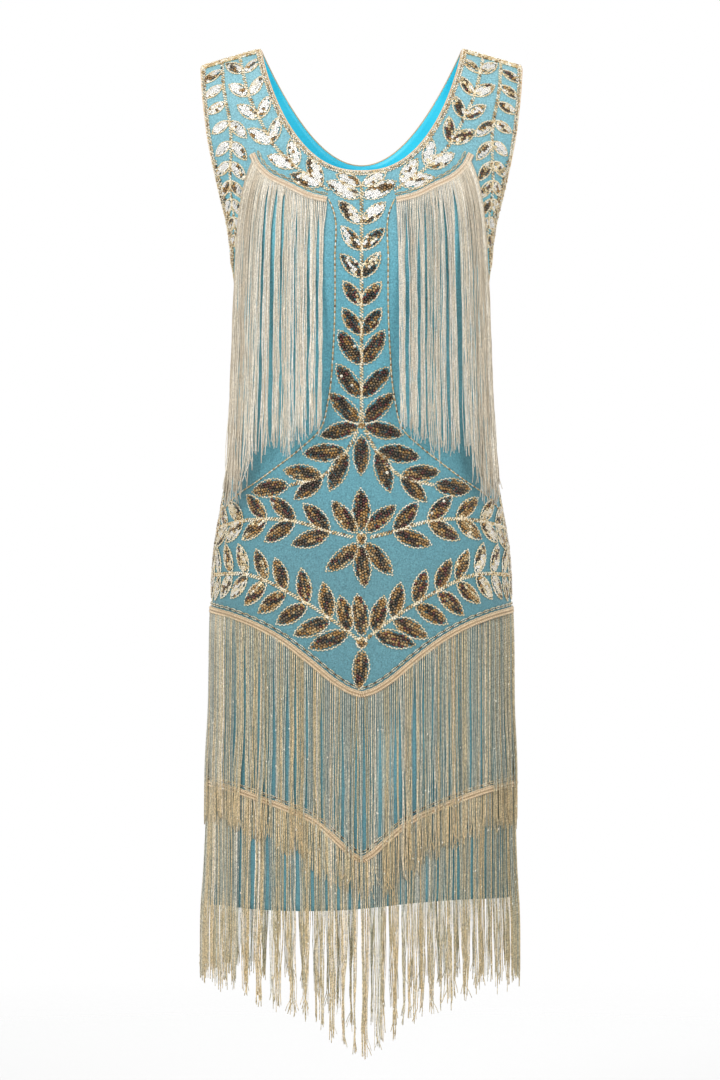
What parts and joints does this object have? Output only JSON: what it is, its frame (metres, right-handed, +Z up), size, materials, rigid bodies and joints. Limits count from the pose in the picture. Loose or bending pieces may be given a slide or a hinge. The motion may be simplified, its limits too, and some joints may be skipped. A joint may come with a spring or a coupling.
{
  "type": "flapper dress",
  "caption": "Sleeveless drop-waist dress worn hollow, with a deep scoop neck, bead and sequin leaves, bust fringe and two tiers of skirt fringe in a V.",
  "frame": {"origin": "midway between the tops of the two shoulder straps, where the wearer holds the dress up", "axes": "+Z up, the front of the dress faces -Y, +X towards the wearer's left"},
  "size_m": [0.3606, 0.2532, 1.1106],
  "materials": {
    "cloth": "turquoise net over a satin lining",
    "beads": "edge of small cream and gold beads",
    "bust_fringe": "ivory twisted fringe with gimp heading",
    "skirt_fringe": "sand twisted fringe with gimp heading"
  },
  "bodies": {
    "root": {"front_panel": "cloth", "back_panel": "cloth", "neck_trim": "beads", "armhole_trim_left": "beads", "armhole_trim_right": "beads", "bust_fringe_front_left": "bust_fringe", "bust_fringe_front_right": "bust_fringe", "bust_fringe_back_left": "bust_fringe", "bust_fringe_back_right": "bust_fringe", "hip_fringe_front": "skirt_fringe", "hip_fringe_back": "skirt_fringe", "skirt_fringe_front": "skirt_fringe", "skirt_fringe_back": "skirt_fringe"}
  },
  "joints": []
}
